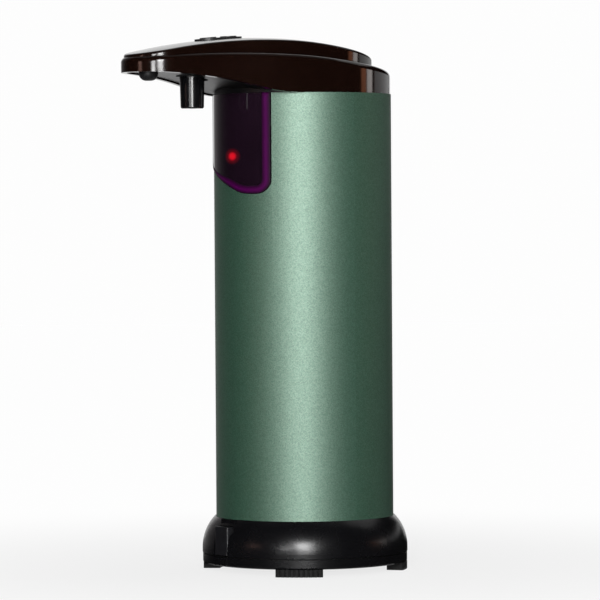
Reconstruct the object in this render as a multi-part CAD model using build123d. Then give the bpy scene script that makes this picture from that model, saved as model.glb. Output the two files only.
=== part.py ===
from build123d import *
import os
from math import asin, cos, degrees, pi, radians, sin, sqrt, tan

# Countertop automatic soap dispenser, in millimetres.
# +Z is up, the front is -Y, the origin is on the floor under the axis of the sleeve.

# Clearances
slip = 0.1            # pieces that push together
run = 0.05            # radial play of a turning fit
free = 0.3            # pieces that move past each other

# Sleeve and the stack of heights
cell_length = 44.5    # the cells lie across the base and set the sleeve's radius
cell_margin = 9.5     # sleeve beyond the ends of the cells
tube_wall = 0.6
foot_height = 2.7     # floor to the underside of the bottom cover
cover_height = 3.3    # rim of the bottom cover
seam = 0.4            # open line between the bottom cover and the base
base_rise = 12.8      # base housing, from the seam to its lip
sleeve_show = 150.4   # visible length of the sleeve
sleeve_seat = 1.9     # depth of the sleeve in its groove in the base
spigot_height = 5.0   # ring of the base inside the sleeve

# Base housing and bottom cover
base_flare = 5.0      # the base stands out from the sleeve by this much
base_lip = 0.45       # lip of the base round the sleeve
base_wall = 2.2
dome_r = 16.0         # arc of the flared base in section
deck_thick = 3.0      # deck between the battery bay and the tank
deck_drop = 0.4       # the deck lies under the lip of the base by this much
cover_floor = 2.0
bayonet_wall = 1.2    # spigot ring of the bottom cover
bayonet_lug = 0.7     # reach of the lugs and ledges
bayonet_thick = 1.2
bayonet_lift = 0.5    # ledges over the lower edge of the base
bayonet_root = 0.5    # ledges reach this far into the wall
bayonet_turn = 30.0   # turn that frees the bottom cover, degrees
lug_half_angle = 9.0
lug_count = 3
ledge_play = 2.0      # degrees from the end of a ledge to a lug that passes
gasket_thick = 0.2
gasket_width = 1.2
gasket_gap = 0.2      # gasket outside the bay's wall line
rim_step = 0.15       # the bottom cover stands back from the base by this much

# Feet
foot_angles = (51.6, 140.0, -140.0, -51.6)
foot_half_angle = 13.3
foot_depth = 6.0      # radial
foot_sink = 1.2       # the foot sits this far in the bottom cover
foot_stud = 0.7       # share of the foot's width that its stud takes
foot_rib_pitch = 2.6  # degrees between the grip grooves
foot_rib_r = 0.35

# Front latch
latch_width = 8.0
latch_proud = 0.35    # its face stands back from the base's largest radius by this much
latch_height = 10.0
latch_depth = 5.6
latch_skin = 1.2      # thickness where it passes the bayonet ring
latch_flange = 1.4
latch_flange_thick = 1.0
ring_lug_proud = 0.4  # lug of the bottom cover under the latch
ring_lug_lift = 0.6
latch_lift = 0.25     # latch over the lower edge of the base
latch_brow = 1.2      # lug of the base over the latch, out from the lip
brow_root = 0.2       # depth of that lug in the lip
latch_round = 0.8

# Battery bay
cell_r = 5.25
cell_lift = 0.5       # cells over the floor of the bottom cover
cell_nub_r = 1.9
cell_nub = 1.0
cell_pitch = 11.0
contact_thick = 0.4
contact_width = 6.0
contact_height = 7.0
tray_wall = 1.6
lead_r = 0.55
lead_bend = 1.5
lead_low = 9.0        # front lead under the gear line at the sensor board
lead_high = 4.0       # rear lead under the gear line
lead_straight = 2.5   # straight end at the sensor board
lead_clear = 2.6      # rear lead beside the upright plate

# Soap tank, chassis and filler
tank_gap = 1.85       # between the sleeve and the tank, for the leads
tank_wall = 1.3
tank_floor = 1.6
pump_bay = 42.0       # from the tank's rim to the end of the visible sleeve
tank_corner = 3.0
gasket_height = 1.0
chassis_thick = 2.5
chassis_plug = 3.0    # depth of the chassis ring inside the tank
filler_y = 7.5
neck_r = 9.9
neck_wall = 1.0
neck_flange = 1.5
mouth_drop = 6.4      # from the lowest rim of the lid's hole to the mouth of the neck

# Pump and gears
gear_z = 20.0         # height of the gear line over the chassis
rotor_x = 6.9
gear_module = 0.6
wheel_teeth = 34
pinion_teeth = 10
pressure_angle = 25.0
tooth_addendum = 0.8  # in modules
tooth_dedendum = 1.1
backlash = 0.2
plate_y = -6.0        # front face of the upright plate
plate_thick = 2.0
plate_height = 35.0
layer_gap = 0.5
wheel_width = 3.0
rotor_wheel_width = 3.6
rotor_disc = 0.9
rotor_disc_r = 8.0
rotor_hub_r = 3.2
roller_count = 3
roller_r = 2.5
roller_width = 3.4
roller_orbit = 6.0
roller_pin_r = 1.0
axle_r = 1.5
idler_axle_r = 1.0
axle_end = 0.2        # idler axle before the face of its gear
axle_head = 0.6
motor_r = 6.0
motor_length = 15.0
motor_shaft_r = 0.75
motor_boss_r = 2.0
motor_boss = 1.0
motor_round = 1.0
plate_inset = 1.0     # edge of the plate inside the motor's side
race_wall = 1.5
hose_r = 2.2
hose_bore_r = 1.3
pickup_bore_r = 0.8
barb_length = 4.0
hose_bend = 4.0
outlet_bend = 3.0
barb_proud = 0.2      # pick-up tube over the chassis
race_gap = 0.2
race_ear_r = 2.8
race_ear = 3.0

# Sensor board and its parts
board_thick = 1.5
board_half_width = 15.5
board_half_height = 17.4
board_y = -22.0       # rear face
board_hole_x = 13.5
board_hole_z = 15.4
post_r = 2.4
screw_r = 0.9
screw_head_r = 1.9
screw_head = 1.2
screw_length = 6.0
short_screw = 4.4
eye_x = 5.0
eye_r = 2.5
eye_z = 4.0           # over the gear line
led_r = 1.5
led_x = 2.4
led_drop = 3.6        # under the gear line
eye_reach = 3.4

# Sensor window
window_near_x = 18.1
window_far_x = 19.3
window_drop = 35.4    # lowest point under the head
window_rise = 10.5    # the far lower corner is higher by this much
window_near_r = 5.0
window_far_r = 6.0
window_knee_x = 7.0
window_knee_r = 18.0
window_proud = 0.3
window_inside = 1.3
window_flange = 1.6

# Head
head_inset = 0.25     # the head stands back from the sleeve by this much
nose_reach = 60.0     # axis of the sleeve to the centre of the nose
nose_r = 14.0
head_wall = 2.0
head_spigot = 4.0
lip_lift = 6.9        # the lower edge rises by this much at the tip
lip_arc = 170.0
lip_blend = 40.0
ridge_s = 20.0        # the highest point lies this far in front of the axis
side_crown = 150.0    # radius of the crown from side to side
shell_rise = 15.3
shell_front_r = 466.0
shell_rear_r = 161.0
shell_edge = 2.0
top_rise = 19.8
top_front_r = 211.0
top_rear_r = 130.0
top_edge = 1.0
top_back_r = 25.0
top_nose_r = 13.0
top_wall = 1.8
seat_gap = 1.0        # top cover over the head's crown
top_seat = 2.6        # the top cover laps the head's opening by this much
opening_ahead = 1.0   # front end of the head's opening, before the centre of the nose
fence_wall = 1.2
liner_recess = 0.6
liner_thick = 1.4
skirt_inset = 0.4     # the liner's skirt stands this far inside the sleeve's face
skirt_wall = 1.0

# Filler lid
lid_r = 11.5
lid_gap = 0.5
lid_thick = 2.2
hinge_pin_r = 0.7
knuckle_r = 1.3
knuckle_half = 5.5
pin_gap = 1.2         # hinge pin behind the lid's rim
hinge_lug = 2.3
lug_rim = 0.4
arm_length = 4.5      # the lid's arm, from its middle to the hinge pin
arm_drop = 0.6        # share of the knuckle under the pin's axis
stopper_r = 7.8
stopper_depth = 1.5

# Keys
pad_s = 36.0
pad_half_length = 9.0
pad_half_width = 5.0
pad_thick = 0.6
key_offset = 4.3
key_r = 2.9
key_proud = 0.9
key_flange_r = 3.7
key_flange = 0.8
key_board_half = 10.5
key_board_length = 19.0
key_board_thick = 1.0
switch_side = 5.0
switch_height = 1.0
switch_tip_r = 1.2
switch_tip = 0.5
post_drop = 4.3       # key board under the inside of the top cover
key_post_r = 1.9
ribbon_x = 8.0
ribbon_width = 6.0
ribbon_thick = 0.5

# Nozzle and plug
nozzle_back = 12.9    # the nozzle stands behind the centre of the nose
nozzle_top_r = 4.4
nozzle_tip_r = 4.1
tip_chamfer = 0.4
nozzle_drop = 5.4     # the tip hangs this far under the lower edge of the head
nozzle_height = 11.8
nozzle_outlet_r = 1.3
collar_r = 5.6
collar_sink = 0.3     # the collar sits this far above the face of the liner
plug_ahead = 5.2      # before the centre of the nose
plug_r = 3.4
plug_gap = 0.15       # plug and boss from the liner
plug_round = 0.75     # share of the plug's radius that is rounded
boss_inset = 0.4
plug_drop = 3.1
hose_drop = 2.0       # end of the hose under the lower edge of the head
hose_z = 9.4          # hose in the beak, over the lower edge of the head

# Heights worked out from the stack
cover_z0 = foot_height
cover_z1 = cover_z0 + cover_height
base_z0 = cover_z1 + seam
base_z1 = base_z0 + base_rise
head_z0 = base_z1 + sleeve_show
groove_z = base_z1 - sleeve_seat
deck_z1 = base_z1 - deck_drop
deck_z0 = deck_z1 - deck_thick
cell_z = cover_z0 + cover_floor + cell_lift + cell_r
tank_z1 = head_z0 - pump_bay
chassis_z0 = tank_z1 + gasket_height
chassis_z1 = chassis_z0 + chassis_thick
axis_z = chassis_z1 + gear_z
shell_top = head_z0 + shell_rise
cover_top = head_z0 + top_rise
lip_tip = head_z0 + lip_lift

# Radii worked out from the sleeve
tube_r = cell_length / 2 + cell_margin
sleeve_in = tube_r - tube_wall
base_r = tube_r + base_flare
lip_r = tube_r + base_lip
dome_z = base_z1 - sqrt(dome_r**2 - (dome_r - base_r + lip_r)**2)
bay_r = base_r - base_wall
head_r = tube_r - head_inset
tip_s = nose_reach + nose_r
opening_s = nose_reach + opening_ahead
nozzle_s = nose_reach - nozzle_back
plug_s = nose_reach + plug_ahead
tank_r = sleeve_in - tank_gap
centre_distance = gear_module * (wheel_teeth + pinion_teeth) / 2
idler_x = rotor_x - centre_distance
motor_x = idler_x - centre_distance
hose_orbit = roller_orbit + roller_r + hose_r + race_gap
plate_back = plate_y + plate_thick
wheel_y = plate_y - layer_gap
pinion_y = wheel_y - wheel_width
rotor_y = pinion_y - layer_gap - rotor_wheel_width
rollers_y = rotor_y - rotor_disc - free / 2
rotor_front = rollers_y - roller_width - free / 2 - rotor_disc
hose_y = rollers_y - roller_width / 2
board_front = board_y - board_thick
pin_y = filler_y + lid_r + pin_gap
beak_hose_z = head_z0 + hose_z


# Small helpers for round and flat solids
def disc(r, z0, z1, x=0.0, y=0.0):
    """Upright cylinder from z0 to z1."""
    return Pos(x, y, z0) * Cylinder(r, z1 - z0, align=(Align.CENTER, Align.CENTER, Align.MIN))


def ring(r_out, r_in, z0, z1, x=0.0, y=0.0):
    """Upright tube from z0 to z1."""
    return disc(r_out, z0, z1, x, y) - disc(r_in, z0 - 1, z1 + 1, x, y)


def rod_y(r, y0, y1, x, z):
    """Cylinder along Y between y0 and y1."""
    return Pos(x, (y0 + y1) / 2, z) * Rot(90, 0, 0) * Cylinder(r, abs(y1 - y0))


def rod_x(r, x0, x1, y, z):
    """Cylinder along X between x0 and x1."""
    return Pos((x0 + x1) / 2, y, z) * Rot(0, 90, 0) * Cylinder(r, abs(x1 - x0))


def block(x0, x1, y0, y1, z0, z1):
    """Box between two corners."""
    middle = Pos((x0 + x1) / 2, (y0 + y1) / 2, (z0 + z1) / 2)
    return middle * Box(abs(x1 - x0), abs(y1 - y0), abs(z1 - z0))


def sector(r_out, r_in, z0, z1, mid_angle, half_angle):
    """Part of a tube, its angles measured from the front towards +X."""
    reach = 2 * r_out
    a0 = radians(mid_angle - half_angle)
    a1 = radians(mid_angle + half_angle)
    corners = [(0, 0), (reach * sin(a0), -reach * cos(a0)), (reach * sin(a1), -reach * cos(a1))]
    wedge = Pos(0, 0, z0) * extrude(make_face(Polyline(*corners, close=True)), z1 - z0)
    return ring(r_out, r_in, z0, z1) & wedge


def turned(points):
    """Solid of revolution from a closed outline of radius and height."""
    outline = make_face(Plane.XZ * Polyline(*points, close=True))
    return revolve(outline, Axis.Z)


def screw(place, length=screw_length):
    """Pan head screw whose head sits on the XY plane of its place, the shank pointing down."""
    head = Cylinder(screw_head_r, screw_head, align=(Align.CENTER, Align.CENTER, Align.MIN))
    head = fillet(head.edges().group_by(Axis.Z)[-1], 0.6)
    shank = Cylinder(screw_r, length, align=(Align.CENTER, Align.CENTER, Align.MAX))
    return place * (head + shank)


# Forms that the head's pieces share
def plan(back_r, front_r):
    """Outline seen from above: a large arc round the sleeve, a small one at the nose, straight sides."""
    lean = asin((back_r - front_r) / nose_reach)
    back_x = back_r * cos(lean)
    back_y = -back_r * sin(lean)
    front_x = front_r * cos(lean)
    front_y = -nose_reach - front_r * sin(lean)
    sides = [
        ThreePointArc((back_x, back_y), (0, back_r), (-back_x, back_y)),
        Line((-back_x, back_y), (-front_x, front_y)),
        ThreePointArc((-front_x, front_y), (0, -nose_reach - front_r), (front_x, front_y)),
        Line((front_x, front_y), (back_x, back_y)),
    ]
    return make_face(sides)


def column(face, z0, z1):
    """Flat outline carried up from z0 to z1."""
    return Pos(0, 0, z0) * extrude(face, z1 - z0)


def crown(top_z, front_r, rear_r, depth):
    """Solid under a surface that is crowned both ways: an arc from side to side, turned forward about
    one axis and backward about another, so that the two halves meet level on the ridge."""
    half = head_r + 8
    low = top_z - 1.5 * top_rise
    r = side_crown - depth
    top = top_z - depth
    edge = top - r + sqrt(r**2 - half**2)
    arch = [
        ThreePointArc((-half, edge), (0, top), (half, edge)),
        Polyline((half, edge), (half, low), (-half, low), (-half, edge)),
    ]
    face = Plane((0, -ridge_s, 0), (1, 0, 0), (0, -1, 0)) * make_face(arch)
    front_axis = Axis((0, -ridge_s, top_z - front_r), (1, 0, 0))
    rear_axis = Axis((0, -ridge_s, top_z - rear_r), (-1, 0, 0))
    front_turn = degrees(asin((tip_s + 8 - ridge_s) / (front_r - 1.5 * top_rise)))
    rear_turn = degrees(asin((head_r + 8 + ridge_s) / (rear_r - 1.5 * top_rise)))
    return revolve(face, front_axis, front_turn) + revolve(face, rear_axis, rear_turn)


def shell_crown(depth=0.0):
    """Solid under the top of the head shell, lowered by depth."""
    return crown(shell_top, shell_front_r, shell_rear_r, depth)


def top_crown(depth=0.0):
    """Solid under the top of the top cover, lowered by depth."""
    return crown(cover_top, top_front_r, top_rear_r, depth)


def top_z(s):
    """Height of the top cover on its middle line, s in front of the axis."""
    r = top_front_r if s > ridge_s else top_rear_r
    return cover_top - r + sqrt(r**2 - (s - ridge_s)**2)


def lip_z(s):
    """Height of the lower edge of the beak, s in front of the axis."""
    return max(head_z0, lip_tip - lip_arc + sqrt(lip_arc**2 - (tip_s - s)**2))


def above_lip(lift):
    """Everything above the lower edge of the head, raised by lift."""
    flat = head_z0 + lift
    tip = lip_tip + lift
    start = tip_s - sqrt(lip_arc**2 - (lip_arc - lip_lift)**2)
    middle = (tip_s + start) / 2
    middle_z = lip_z(middle) + lift
    far = 2 * tip_s
    edges = [
        Line((tube_r * 2, flat), (-start, flat)),
        ThreePointArc((-start, flat), (-middle, middle_z), (-tip_s, tip)),
        Polyline((-tip_s, tip), (-far, tip), (-far, cover_top * 2), (tube_r * 2, cover_top * 2),
                 (tube_r * 2, flat)),
    ]
    face = make_face(edges)
    kink = face.vertices().sort_by_distance((-start, flat))[0]
    face = fillet(kink, lip_blend)
    return extrude(Plane.YZ * face, tip_s, both=True)


def opening(inset):
    """Column through the head's opening, smaller by inset all round."""
    face = plan(top_back_r - top_seat - inset, top_nose_r - top_seat - inset)
    span = block(-tube_r, tube_r, -opening_s + inset, tube_r, head_z0, cover_top)
    return column(face, head_z0, cover_top) & span


def window_outline(margin):
    """Front outline of the sensor window grown by margin, carried through the front of the sleeve."""
    right = window_near_x + margin
    left = -window_far_x - margin
    low = head_z0 - window_drop - margin
    high = low + window_rise
    top = head_z0 + lip_lift
    corners = [(right, top), (right, low), (window_knee_x, low), (left, high), (left, top)]
    face = make_face(Polyline(*corners, close=True))
    near = face.vertices().sort_by_distance((right, low))[0]
    face = fillet(near, window_near_r + margin)
    knee = face.vertices().sort_by_distance((window_knee_x, low))[0]
    face = fillet(knee, window_knee_r)
    far = face.vertices().sort_by_distance((left, high))[0]
    face = fillet(far, window_far_r + margin)
    return extrude(Plane.XZ * face, 2 * tube_r)


# Gears
def tooth_half_angle(radius, teeth):
    """Half the angle that a tooth takes at a radius, on an involute flank."""
    pitch_r = gear_module * teeth / 2
    base = pitch_r * cos(radians(pressure_angle))
    at_pitch = pi / (2 * teeth) - backlash / (4 * pitch_r)
    a = radians(pressure_angle)
    here = 0.0
    if radius > base:
        flank = sqrt(radius**2 - base**2) / base
        here = flank - asin(sqrt(radius**2 - base**2) / radius)
    return at_pitch + tan(a) - a - here


def gear(teeth, y0, y1, x, phase):
    """Spur gear on an axis along Y, one tooth turned by phase degrees from +X towards +Z."""
    pitch_r = gear_module * teeth / 2
    root = pitch_r - tooth_dedendum * gear_module
    tip = pitch_r + tooth_addendum * gear_module
    flank = [(root, tooth_half_angle(root, teeth))]
    for k in (1, 2, 3, 4):
        r = root + (tip - root) * k / 4
        flank.append((r, tooth_half_angle(r, teeth)))
    points = []
    for tooth in range(teeth):
        middle = radians(phase) + 2 * pi * tooth / teeth
        points += [(r * cos(middle - half), r * sin(middle - half)) for r, half in flank]
        points += [(r * cos(middle + half), r * sin(middle + half)) for r, half in reversed(flank)]
    face = Plane((x, y0, axis_z), (1, 0, 0), (0, -1, 0)) * make_face(Polyline(*points, close=True))
    return extrude(face, abs(y1 - y0))


parts = {}

# Bottom cover: rim, floor, bayonet ring with lugs, pockets for the feet and a lug under the latch
lug_z0 = base_z0 + bayonet_lift + bayonet_thick + free
bayonet_r = bay_r - free - bayonet_lug
rim_r = base_r - rim_step
lug_pitch = 360.0 / lug_count
lug_angles = [lug_pitch * (k + 0.5) for k in range(lug_count)]
bottom_cover = disc(rim_r, cover_z0, cover_z1) - disc(bay_r - bayonet_lug - free - bayonet_wall,
                                                      cover_z0 + cover_floor, cover_z1 + 1)
bottom_cover = chamfer(bottom_cover.edges().group_by(Axis.Z)[0], 0.5)
bottom_cover += ring(bayonet_r, bayonet_r - bayonet_wall, cover_z1, lug_z0 + bayonet_thick)
for angle in lug_angles:
    bottom_cover += sector(bayonet_r + bayonet_lug - slip, bayonet_r - bayonet_wall / 2, lug_z0,
                           lug_z0 + bayonet_thick, angle, lug_half_angle)
ring_lug = block(-latch_width / 2, latch_width / 2, -rim_r - ring_lug_proud, -rim_r + 1,
                 cover_z0 + ring_lug_lift, cover_z1)
bottom_cover += ring_lug

# Rubber feet: blocks on the rim with grip grooves down their outer faces
feet = []
groove_count = int(foot_half_angle / foot_rib_pitch)
for angle in foot_angles:
    stud = sector(rim_r - foot_depth / 4, rim_r - 3 * foot_depth / 4, cover_z0, cover_z0 + foot_sink, angle,
                  foot_half_angle * foot_stud)
    bottom_cover -= stud
    foot = sector(rim_r, rim_r - foot_depth, 0, cover_z0, angle, foot_half_angle)
    for k in range(-groove_count, groove_count + 1):
        a = radians(angle + k * foot_rib_pitch)
        foot -= disc(foot_rib_r, -1, cover_z0 + 1, rim_r * sin(a), -rim_r * cos(a))
    feet.append(foot + stud)
parts["bottom_cover"] = bottom_cover
parts["rubber_feet"] = Compound(children=feet)
gasket_in = bay_r + gasket_gap
parts["cover_gasket"] = ring(gasket_in + gasket_width, gasket_in, cover_z1, cover_z1 + gasket_thick)

# Base housing: flared wall, groove for the sleeve, deck, ledges for the bayonet and a slot for the latch
arc_r = base_r - dome_r
mid_z = (dome_z + base_z1) / 2
inner_r = dome_r - base_wall
deck_edge = arc_r + sqrt(inner_r**2 - (deck_z0 - dome_z)**2)
inner_mid_z = (dome_z + deck_z0) / 2
spigot_r = sleeve_in - slip
spigot_in = tank_r + free
outline = [
    Line((base_r, base_z0), (base_r, dome_z)),
    ThreePointArc((base_r, dome_z), (arc_r + sqrt(dome_r**2 - (mid_z - dome_z)**2), mid_z), (lip_r, base_z1)),
    Polyline((lip_r, base_z1), (tube_r + slip, base_z1), (tube_r + slip, groove_z), (spigot_r, groove_z),
             (spigot_r, base_z1 + spigot_height), (spigot_in, base_z1 + spigot_height), (spigot_in, deck_z1),
             (0, deck_z1), (0, deck_z0), (deck_edge, deck_z0)),
    ThreePointArc((deck_edge, deck_z0), (arc_r + sqrt(inner_r**2 - (inner_mid_z - dome_z)**2), inner_mid_z),
                  (bay_r, dome_z)),
    Polyline((bay_r, dome_z), (bay_r, base_z0), (base_r, base_z0)),
]
base_housing = revolve(make_face(Plane.XZ * Curve(outline)), Axis.Z)
for angle in lug_angles:
    gap_angle = angle + bayonet_turn
    ledge_half = lug_pitch / 2 - lug_half_angle - ledge_play
    base_housing += sector(bay_r + bayonet_root, bay_r - bayonet_lug, base_z0 + bayonet_lift,
                           base_z0 + bayonet_lift + bayonet_thick, gap_angle + lug_pitch / 2, ledge_half)
latch_z0 = base_z0 + latch_lift
latch_z1 = latch_z0 + latch_height
half_slot = latch_width / 2 + free
latch_slot = block(-half_slot, half_slot, -base_r - 2, -bay_r + latch_depth, base_z0 - 1, latch_z1 + free)
base_housing -= latch_slot
brow = block(-latch_width / 2, latch_width / 2, -lip_r - latch_brow, -lip_r + brow_root, latch_z1 + free,
             base_z1)
base_housing += brow - disc(tube_r + slip, 0, head_z0)
lead_y = 1.5 * cell_pitch
lead_x = -sqrt((tank_r + (sleeve_in - tank_r) / 2)**2 - lead_y**2)
for y in (-lead_y, lead_y):
    base_housing -= disc(lead_r + free, deck_z0 - 1, base_z1 + spigot_height + 1, lead_x, y)
parts["base_housing"] = base_housing

# Front latch: pressed inwards, kept in the slot by a flange behind the wall
latch_face = base_r - latch_proud
latch = block(-latch_width / 2, latch_width / 2, -latch_face, -latch_face + latch_skin, latch_z0, latch_z1)
shank_z0 = lug_z0 + bayonet_thick + free
flange_y = -latch_face + latch_depth
latch += block(-latch_width / 2, latch_width / 2, -latch_face, flange_y, shank_z0, latch_z1)
latch = fillet(latch.edges().filter_by(Axis.Z).group_by(Axis.Y)[0], latch_round)
flange_half = half_slot + latch_flange
latch += block(-flange_half, flange_half, flange_y, flange_y + latch_flange_thick, shank_z0,
               deck_z0 - free)
parts["cover_latch"] = latch

# Battery bay: tray under the deck, four cells lying across, sheet contacts at their ends
cell_rows = [cell_pitch * (k - 1.5) for k in range(4)]
end_x = cell_length / 2 + slip
wall_x = end_x + contact_thick
tray_half = 1.5 * cell_pitch + cell_r + tray_wall
tray_low = cell_z - contact_height / 2
tray = block(-wall_x - tray_wall, wall_x + tray_wall, -tray_half, tray_half, tray_low, deck_z0)
tray &= disc(bayonet_r - bayonet_wall - free, 0, deck_z0)
tray -= block(-wall_x, wall_x, -tray_half + tray_wall - slip, tray_half - tray_wall + slip, 0, cell_z)
for y in cell_rows:
    tray -= rod_x(cell_r + slip, -wall_x, wall_x, y, cell_z)
cells = []
for row, y in enumerate(cell_rows):
    way = 1 if row % 2 == 0 else -1
    can = rod_x(cell_r, -cell_length / 2, cell_length / 2 - cell_nub, 0, 0)
    can += rod_x(cell_nub_r, cell_length / 2 - cell_nub, cell_length / 2, 0, 0)
    cells.append(Pos(0, y, cell_z) * Rot(0, 0, 0 if way == 1 else 180) * can)
contacts = []
half_contact = contact_width / 2
for side, spans in ((1, ((0, 1), (2, 3))), (-1, ((0, 0), (1, 2), (3, 3)))):
    for first, last in spans:
        contacts.append(block(side * end_x, side * wall_x, cell_rows[first] - half_contact,
                              cell_rows[last] + half_contact, tray_low, tray_low + contact_height))
for contact in contacts:
    tray -= contact
for y in (-lead_y, lead_y):
    tray -= rod_x(lead_r + free, -wall_x - 2 * tray_wall, -wall_x, y, cell_z)
parts["battery_tray"] = tray
parts["aaa_cells"] = Compound(children=cells)
parts["battery_contacts"] = Compound(children=contacts)

# Sleeve, with its front cut for the sensor window
sleeve = ring(tube_r, sleeve_in, groove_z, head_z0)
sleeve -= window_outline(slip)
parts["body_sleeve"] = sleeve

# Sensor window: curved pane flush in the cut, with a flange behind the sleeve
pane = ring(tube_r + window_proud, sleeve_in - window_inside, base_z1, head_z0) & window_outline(0)
hold = ring(sleeve_in - slip, sleeve_in - window_inside, base_z1, head_z0) & window_outline(window_flange)
parts["sensor_window"] = pane + hold

# Soap tank and what closes it
tank_in = tank_r - tank_wall
tank = disc(tank_r, deck_z1, tank_z1)
tank = fillet(tank.edges().group_by(Axis.Z)[0], tank_corner)
tank_space = disc(tank_in, deck_z1 + tank_floor, tank_z1 + 1)
tank_space = fillet(tank_space.edges().group_by(Axis.Z)[0], tank_corner - tank_wall)
parts["soap_tank"] = tank - tank_space
parts["tank_gasket"] = ring(tank_r, tank_in, tank_z1, chassis_z0)

# Chassis: lid of the tank, upright plate for the pump, posts for the sensor board
chassis = disc(tank_r, chassis_z0, chassis_z1)
chassis += ring(tank_in - free, tank_in - free - tank_wall, chassis_z0 - chassis_plug, chassis_z0)
plate_left = motor_x - motor_r + plate_inset
plate_right = rotor_x + hose_orbit + hose_r + race_gap + race_wall + free
chassis += block(plate_left, plate_right, plate_y, plate_back, chassis_z1, chassis_z1 + plate_height)
board_points = [(x, axis_z + z) for x in (-board_hole_x, board_hole_x) for z in (-board_hole_z, board_hole_z)]
for x, z in board_points:
    chassis += rod_y(post_r, plate_y, board_y, x, z)
    chassis -= rod_y(screw_r + run, plate_y - 4, board_y - 1, x, z)
chassis -= disc(neck_r + slip, chassis_z0 - 1, chassis_z1 + 1, 0, filler_y)
chassis -= disc(hose_r + run, chassis_z0 - 1, chassis_z1 + 1, 0, hose_y)
chassis -= rod_y(motor_boss_r + run, plate_y - 1, plate_back + 1, motor_x, axis_z)
chassis -= rod_y(idler_axle_r, plate_y - 1, plate_back + 1, idler_x, axis_z)
chassis -= rod_y(axle_r, plate_y - 1, plate_back + 1, rotor_x, axis_z)

# Filler neck: flanged pipe from under the lid to the tank
neck_flange_r = filler_y - plate_back - free
mouth_z = top_z(-filler_y - lid_r) - mouth_drop
neck = disc(neck_r, chassis_z0 - chassis_plug, mouth_z, 0, filler_y)
neck += disc(neck_flange_r, mouth_z - neck_flange, mouth_z, 0, filler_y)
neck += disc(neck_flange_r, chassis_z1, chassis_z1 + neck_flange, 0, filler_y)
neck -= disc(neck_r - neck_wall, chassis_z0 - chassis_plug - 1, mouth_z + 1, 0, filler_y)
parts["filler_neck"] = neck

# Pickup tube and hose: up from the tank, half a turn round the rotor, forward in the beak to the nozzle
tube_top = chassis_z1 + barb_proud
pickup = ring(hose_r, pickup_bore_r, deck_z1 + tank_floor + 3, tube_top, 0, hose_y)
pickup += ring(hose_bore_r - run, pickup_bore_r, tube_top, tube_top + barb_length, 0, hose_y)
parts["pickup_tube"] = pickup
low_z = axis_z - hose_orbit
high_z = axis_z + hose_orbit
nozzle_end = lip_z(nozzle_s) - hose_drop
rise = FilletPolyline((0, hose_y, tube_top + slip), (0, hose_y, low_z), (rotor_x, hose_y, low_z),
                      radius=hose_bend)
turn = ThreePointArc((rotor_x, hose_y, low_z), (rotor_x + hose_orbit, hose_y, axis_z),
                     (rotor_x, hose_y, high_z))
beak_y = (hose_y - nozzle_s) / 2
lead_up = FilletPolyline((rotor_x, hose_y, high_z), (0, hose_y, high_z), (0, hose_y, beak_hose_z),
                         (0, beak_y, beak_hose_z), radius=hose_bend)
lead_out = FilletPolyline((0, beak_y, beak_hose_z), (0, -nozzle_s, beak_hose_z), (0, -nozzle_s, nozzle_end),
                          radius=outlet_bend)
hose_path = Wire(rise.edges() + [turn.edge()] + lead_up.edges() + lead_out.edges())
hose_face = Pos(0, hose_y, tube_top + slip) * (Circle(hose_r) - Circle(hose_bore_r))
parts["pump_hose"] = sweep(hose_face, hose_path)

# Motor and gears
motor = rod_y(motor_r, plate_back, plate_back + motor_length, motor_x, axis_z)
motor = fillet(motor.edges().group_by(Axis.Y)[-1], motor_round)
motor += rod_y(motor_boss_r, plate_y, plate_back, motor_x, axis_z)
motor_end = plate_back + motor_length
motor += rod_y(motor_boss_r, motor_end, motor_end + motor_boss, motor_x, axis_z)
motor -= rod_y(motor_shaft_r + run, plate_y - 1, plate_back + motor_length / 2, motor_x, axis_z)
parts["motor"] = motor
half_pitch = 180.0 / wheel_teeth
pinion = gear(pinion_teeth, wheel_y, pinion_y, motor_x, 0)
pinion += rod_y(motor_shaft_r, pinion_y, plate_back + motor_length / 2 - 1, motor_x, axis_z)
parts["motor_pinion"] = pinion
compound = gear(wheel_teeth, wheel_y, pinion_y, idler_x, 180.0 - half_pitch)
compound += gear(pinion_teeth, pinion_y, rotor_y, idler_x, 0)
compound -= rod_y(idler_axle_r + run, plate_y, rotor_y - 1, idler_x, axis_z)
parts["compound_gear"] = compound
drive = gear(wheel_teeth, pinion_y - layer_gap, rotor_y, rotor_x, 180.0 - half_pitch)
drive -= rod_y(axle_r + run, plate_y, rotor_y - 1, rotor_x, axis_z)
parts["rotor_gear"] = drive
idler_axle = rod_y(idler_axle_r, plate_back, rotor_y - axle_end, idler_x, axis_z)
rotor_axle = rod_y(axle_r, plate_back, rotor_front - free, rotor_x, axis_z)
rotor_axle += rod_y(axle_r + axle_head, rotor_front - free, rotor_front - free - axle_head, rotor_x, axis_z)
parts["gear_axles"] = Compound(children=[idler_axle, rotor_axle])

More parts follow.
